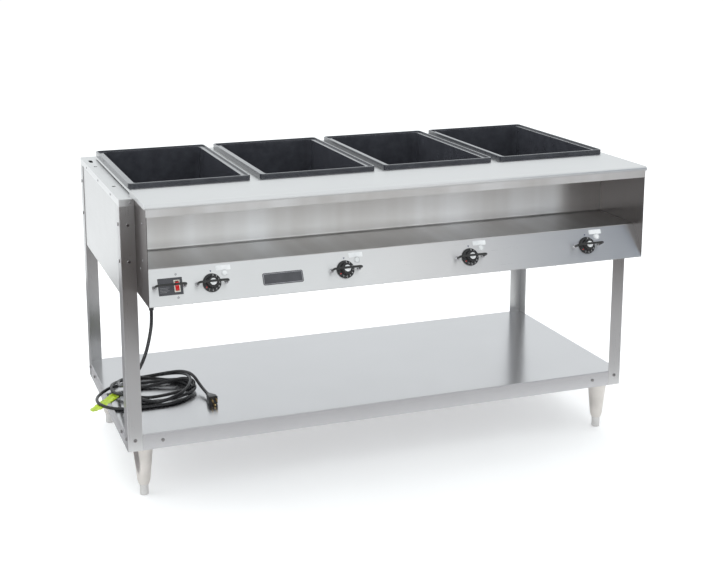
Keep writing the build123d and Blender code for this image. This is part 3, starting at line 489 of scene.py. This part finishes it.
def dress_nodes():
    corners = ("front_left", "front_right", "rear_left", "rear_right")
    # Painted light and shade: the same stainless steel gets a different base tone on each group of parts,
    # lighter or darker as each group looks under the light.
    along_x = brushed_steel("steel_along_x", "X", base=0.70)
    along_y = brushed_steel("steel_along_y", "Y", base=0.48)
    along_z = brushed_steel("steel_along_z", "Z", base=0.60, roughness=(0.27, 0.32))
    top = brushed_steel("steel_top", "X", base=0.70)
    # Painted reflection on the dish shelf and front rail: soft darker streaks along X, on a lighter base
    # than the other steel.
    reflection_banded = brushed_steel("steel_painted_reflection", "X", base=0.88, reflection_bands=0.22)
    # Painted shade and painted reflection: the cheeks get a far darker, warmer base than the other steel,
    # for the shade between leg and control box and the dark brown they reflect.
    cheek_painted_shade = brushed_steel("steel_cheek_painted_shade", "Z", base=0.22, roughness=(0.27, 0.32), tint=(1.0, 0.93, 0.92))
    cool = (0.985, 0.98, 1.0)
    shelf = brushed_steel("steel_shelf", "X", base=0.57, roughness=(0.19, 0.23), tint=cool, spread=0.6)
    assign(along_x, "rear_panel", "bottom_pan", "control_panel", "control_box_pan")
    assign(top, "deck_top", "plate_rest")
    assign(reflection_banded, "dish_shelf", "front_rail")
    assign(along_y, "apron_left", "apron_right")
    assign(cheek_painted_shade, "cheek_left", "cheek_right")
    assign(along_z, *[f"leg_{c}" for c in corners])
    assign(shelf, "undershelf", "corner_gussets")
    foot = satin_metal("foot_satin", (0.60, 0.57, 0.54), (0.16, 0.24))
    assign(foot, *[f"foot_body_{c}" for c in corners])
    assign(satin_metal("insert_satin", (0.6, 0.59, 0.58)), *[f"foot_insert_{c}" for c in corners])
    assign(moulded("well_black", (0.05, 0.052, 0.062), (0.14, 0.24), 300.0, coat=0.35), *WELLS)
    element = satin_metal("element_steel", (0.36, 0.34, 0.33), (0.3, 0.45))
    assign(element, "element_pans", *[f"heating_element_{i}" for i in range(1, 5)])
    assign(satin_metal("bolt_steel", (0.26, 0.25, 0.25), (0.1, 0.2)), "frame_bolts")
    assign(satin_metal("fastener_steel", (0.45, 0.45, 0.46), (0.2, 0.35)), "deck_screws", "panel_screws")
    assign(moulded("guard_black", (0.02, 0.02, 0.02), (0.25, 0.4)), "knob_guards", "switch_guard")
    assign(moulded("inner_brown", (0.1, 0.08, 0.07)), "thermostats", "terminal_block")
    assign(moulded("lamp_white", (0.86, 0.88, 0.88), (0.08, 0.15), coat=0.5), "pilot_lamps")
    assign(moulded("label_white", (0.93, 0.95, 0.96), (0.3, 0.4)), "label_plates")
    assign(moulded("plate_grey", (0.06, 0.06, 0.068), (0.3, 0.45)), "switch_plate", "badge_plate")
    assign(moulded("bezel_cream", (0.80, 0.76, 0.68), (0.3, 0.4)), "switch_bezel")
    assign(moulded("rocker_red", (0.62, 0.012, 0.012), (0.15, 0.25), coat=0.4), "switch_rocker")
    assign(moulded("gland_black", (0.02, 0.02, 0.022), (0.3, 0.45)), "cord_gland", "plug")
    assign(satin_metal("prong_brass", (0.72, 0.52, 0.24), (0.2, 0.35)), "plug_prongs")


# ---------------------------------------------------------------- controls, in mm on the panel's face

MM = 0.001
JOINTS = {joint["name"]: joint for joint in frame["joints"]}
FIRST_KNOB = Vector(JOINTS["knob_1_turn"]["pos_m"])
PANEL_OUT = -Vector(JOINTS["knob_1_turn"]["axis"])
PANEL_RIGHT = Vector((1, 0, 0))
PANEL_UP = PANEL_OUT.cross(PANEL_RIGHT)
KNOB_SPAN = 375.0           # one dial to the next
LAMP_OFFSET = (37.5, 24.0)  # dial's middle to its lamp
GUARD_HALF = 40.0           # dial's middle to a guard's foot
SWITCH_PLATE = (-111.2, 0.9)    # first dial's middle to the switch plate's
SWITCH_GUARD_RIGHT = -113.5
BADGE_PLATE = (195.8, -5.0)
BADGE_SIZE = (113.5, 33.0)
PLATE_T = 0.6
KNOB_PROFILE = [            # radius, height over the panel, depth of the flutes
    (3.0, 1.5, 0), (23.0, 1.5, 0), (24.6, 2.0, 0), (25.0, 3.0, 0), (24.7, 4.2, 0), (23.6, 5.2, 0),
    (22.4, 5.5, 0), (18.2, 5.5, 0), (17.6, 5.9, 0.2), (17.1, 6.8, 0.8), (16.6, 9.0, 1.0),
    (15.4, 16.0, 1.0), (15.0, 18.4, 0.8), (14.4, 19.7, 0.4), (13.2, 20.4, 0), (11.6, 20.5, 0),
    (10.2, 20.0, 0), (9.6, 19.8, 0), (0.0, 19.8, 0),
]
CAP_PROFILE = [
    (9.2, 19.7, 0), (9.2, 21.0, 0), (8.9, 21.5, 0), (8.2, 21.8, 0), (5.0, 21.95, 0), (0.0, 22.0, 0),
]
COLLAR_PROFILE = [
    (3.25, 4.4, 0), (3.9, 4.2, 0), (4.5, 3.2, 0), (4.9, 1.2, 0), (5.6, 0.3, 0), (6.0, 0.0, 0),
]
LAMP_RING_PROFILE = [(7.6, 2.0, 0), (8.3, 2.1, 0), (8.9, 1.7, 0), (9.2, 0.8, 0), (9.3, 0.0, 0)]
FLUTES = 18
DIAL_START = 214            # degrees round the dial to its off mark
DIAL_STEP = 28
DIAL_MARKS = 9
DIAL_TOP = 5.5              # face of the dial's skirt over the panel
NUMERAL_R = 20.0
NUMERAL_SIZE = 6.0
NUMERAL_T = 0.12
INDEX_HALF_W = 2.6
INDEX_BASE = 33.4           # dial's middle to the index mark's base and tip
INDEX_TIP = 28.4
BORDER_IN = 2.2             # badge's edge to its border
BORDER_W = 1.1
BORDER_H = 0.35
LINE_LENGTHS = (26.0, 22.0, 25.0, 18.0)
LINE_LEFT = -29.0           # switch plate's middle to its lines
LINE_FIRST = -3.5
LINE_PITCH = 3.8
LINE_W = 0.8
SUNK = 0.1                  # how far a mark's underside lies in what it is on
TURN_STEPS = 144
COLLAR_STEPS = 48
RING_STEPS = 64


def on_panel(right, up, out=0.0):
    """A place on the control panel, from the first dial's middle."""
    return FIRST_KNOB + (PANEL_RIGHT * right + PANEL_UP * up + PANEL_OUT * out) * MM


def turned(target, profile, right, up, steps=TURN_STEPS):
    """Adds a profile turned round the panel's normal, with flutes where the profile has them."""
    rings = []
    for radius, height, flute in profile:
        if radius == 0:
            rings.append([target.verts.new(on_panel(right, up, height))])
            continue
        ring = []
        for k in range(steps):
            angle = math.tau * k / steps
            r = radius - flute * (0.5 + 0.5 * math.cos(FLUTES * angle)) ** 3
            spot = (right + r * math.cos(angle), up + r * math.sin(angle))
            ring.append(target.verts.new(on_panel(*spot, height)))
        rings.append(ring)
    for low, high in zip(rings, rings[1:]):
        for k in range(steps):
            after = (k + 1) % steps
            if len(high) == 1:
                target.faces.new((low[k], low[after], high[0])).smooth = True
            else:
                target.faces.new((low[k], low[after], high[after], high[k])).smooth = True


def prism(target, outline, base, top):
    """Adds a flat plate with the outline given in the panel's face."""
    low = [target.verts.new(on_panel(x, y, base)) for x, y in outline]
    high = [target.verts.new(on_panel(x, y, top)) for x, y in outline]
    target.faces.new(high)
    target.faces.new(low[::-1])
    count = len(outline)
    for k in range(count):
        after = (k + 1) % count
        target.faces.new((low[k], low[after], high[after], high[k]))


def rounded_outline(length, height, radius, middle, steps=6):
    points = []
    for sx, sy, start in ((1, 1, 0), (-1, 1, 90), (-1, -1, 180), (1, -1, 270)):
        for k in range(steps + 1):
            angle = math.radians(start + 90 * k / steps)
            x = middle[0] + sx * (length / 2 - radius) + radius * math.cos(angle)
            y = middle[1] + sy * (height / 2 - radius) + radius * math.sin(angle)
            points.append((x, y))
    return points


def frame_strip(target, outer, inner, base, top):
    """Adds a raised strip between two outlines of as many points."""
    count = len(outer)
    rows = []
    for outline, height in ((outer, base), (outer, top), (inner, top), (inner, base)):
        rows.append([target.verts.new(on_panel(x, y, height)) for x, y in outline])
    for a, b in zip(rows, rows[1:] + rows[:1]):
        for k in range(count):
            after = (k + 1) % count
            target.faces.new((a[k], a[after], b[after], b[k]))


def bar(target, middle, angle, radius, length, width, base, top):
    """Adds a short radial mark on a dial."""
    along = (math.cos(angle), math.sin(angle))
    side = (-along[1], along[0])
    outline = []
    for a, b in ((0, -0.5), (1, -0.5), (1, 0.5), (0, 0.5)):
        reach = radius + a * length
        x = middle[0] + along[0] * reach + side[0] * b * width
        y = middle[1] + along[1] * reach + side[1] * b * width
        outline.append((x, y))
    prism(target, outline, base, top)


def numeral(target, text, middle, size, base):
    """Adds a small raised numeral, for a dial's scale."""
    curve = bpy.data.curves.new("numeral", "FONT")
    curve.body = text
    curve.size = size
    curve.align_x = "CENTER"
    curve.align_y = "CENTER"
    curve.extrude = NUMERAL_T
    shape = bpy.data.objects.new("numeral", curve)
    mesh = bpy.data.meshes.new_from_object(shape)
    made = []
    for vertex in mesh.vertices:
        x, y, z = vertex.co
        made.append(target.verts.new(on_panel(middle[0] + x, middle[1] + y, base + z)))
    for face in mesh.polygons:
        target.faces.new([made[k] for k in face.vertices])
    bpy.data.objects.remove(shape)
    bpy.data.curves.remove(curve)
    bpy.data.meshes.remove(mesh)


def make_knobs():
    black = moulded("knob_black", (0.016, 0.016, 0.017), (0.22, 0.36), 500.0)
    cap = moulded("knob_cap_white", (0.86, 0.87, 0.88), (0.18, 0.28), coat=0.3)
    marks = moulded("dial_mark_white", (0.8, 0.8, 0.8), (0.4, 0.5))
    red = moulded("dial_mark_red", (0.65, 0.03, 0.03), (0.4, 0.5))
    blue = moulded("index_blue", (0.05, 0.07, 0.16), (0.35, 0.5))
    chrome = satin_metal("collar_chrome", (0.72, 0.72, 0.74), (0.14, 0.24))
    for i in range(4):
        middle = (KNOB_SPAN * i, 0.0)
        body = f"knob_{i + 1}_body"
        dial = bmesh.new()
        turned(dial, KNOB_PROFILE, *middle)
        made = piece(f"knob_dial_{i + 1}", dial, black, body)
        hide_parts(f"knob_{i + 1}")
        top = bmesh.new()
        turned(top, CAP_PROFILE, *middle)
        piece(f"knob_cap_{i + 1}", top, cap, body)
        scale = bmesh.new()
        for k in range(DIAL_MARKS):
            angle = math.radians(DIAL_START + DIAL_STEP * k)
            spot = (middle[0] + NUMERAL_R * math.cos(angle), middle[1] + NUMERAL_R * math.sin(angle))
            bar(scale, middle, angle, 23.0, 0.9, 0.8, 5.0, 5.62)
            if k:
                numeral(scale, str(k), spot, NUMERAL_SIZE, DIAL_TOP)
        piece(f"knob_scale_{i + 1}", scale, marks, body)
        off = bmesh.new()
        bar(off, middle, math.radians(DIAL_START), 18.4, 3.8, 2.4, 5.4, 5.66)
        piece(f"knob_off_mark_{i + 1}", off, red, body)
        index = bmesh.new()
        left, right = middle[0] - INDEX_HALF_W, middle[0] + INDEX_HALF_W
        prism(index, [(left, INDEX_BASE), (right, INDEX_BASE), (middle[0], INDEX_TIP)], -SUNK, 0.3)
        piece(f"index_mark_{i + 1}", index, blue)
        feet = bmesh.new()
        for side in (-1, 1):
            turned(feet, COLLAR_PROFILE, middle[0] + side * GUARD_HALF, 0.0, COLLAR_STEPS)
        piece(f"guard_collars_{i + 1}", feet, chrome)
        ring = bmesh.new()
        turned(ring, LAMP_RING_PROFILE, middle[0] + LAMP_OFFSET[0], LAMP_OFFSET[1], RING_STEPS)
        piece(f"lamp_ring_{i + 1}", ring, cap)
    feet = bmesh.new()
    for side in (-1, 1):
        right = SWITCH_GUARD_RIGHT + side * GUARD_HALF
        turned(feet, COLLAR_PROFILE, right, SWITCH_PLATE[1], COLLAR_STEPS)
    piece("switch_guard_collars", feet, chrome)


def make_plates():
    light = moulded("border_light", (0.4, 0.4, 0.42), (0.3, 0.4))
    faint = moulded("print_faint", (0.30, 0.30, 0.31), (0.4, 0.5))
    border = bmesh.new()
    length, height = (size - 2 * BORDER_IN for size in BADGE_SIZE)
    outer = rounded_outline(length, height, 3.4, BADGE_PLATE)
    inner = rounded_outline(length - 2 * BORDER_W, height - 2 * BORDER_W, 2.4, BADGE_PLATE)
    frame_strip(border, outer, inner, PLATE_T - SUNK, PLATE_T + BORDER_H)
    piece("badge_border", border, light)
    lines = bmesh.new()
    for k, length in enumerate(LINE_LENGTHS):
        left = SWITCH_PLATE[0] + LINE_LEFT
        low = SWITCH_PLATE[1] + LINE_FIRST - LINE_PITCH * k
        high = low + LINE_W
        outline = [(left, low), (left + length, low), (left + length, high), (left, high)]
        prism(lines, outline, PLATE_T - SUNK, PLATE_T + 0.08)
    piece("switch_plate_lines", lines, faint)


make_camera()
make_floor()
make_light()
make_cord()
dress_nodes()
make_knobs()
make_plates()
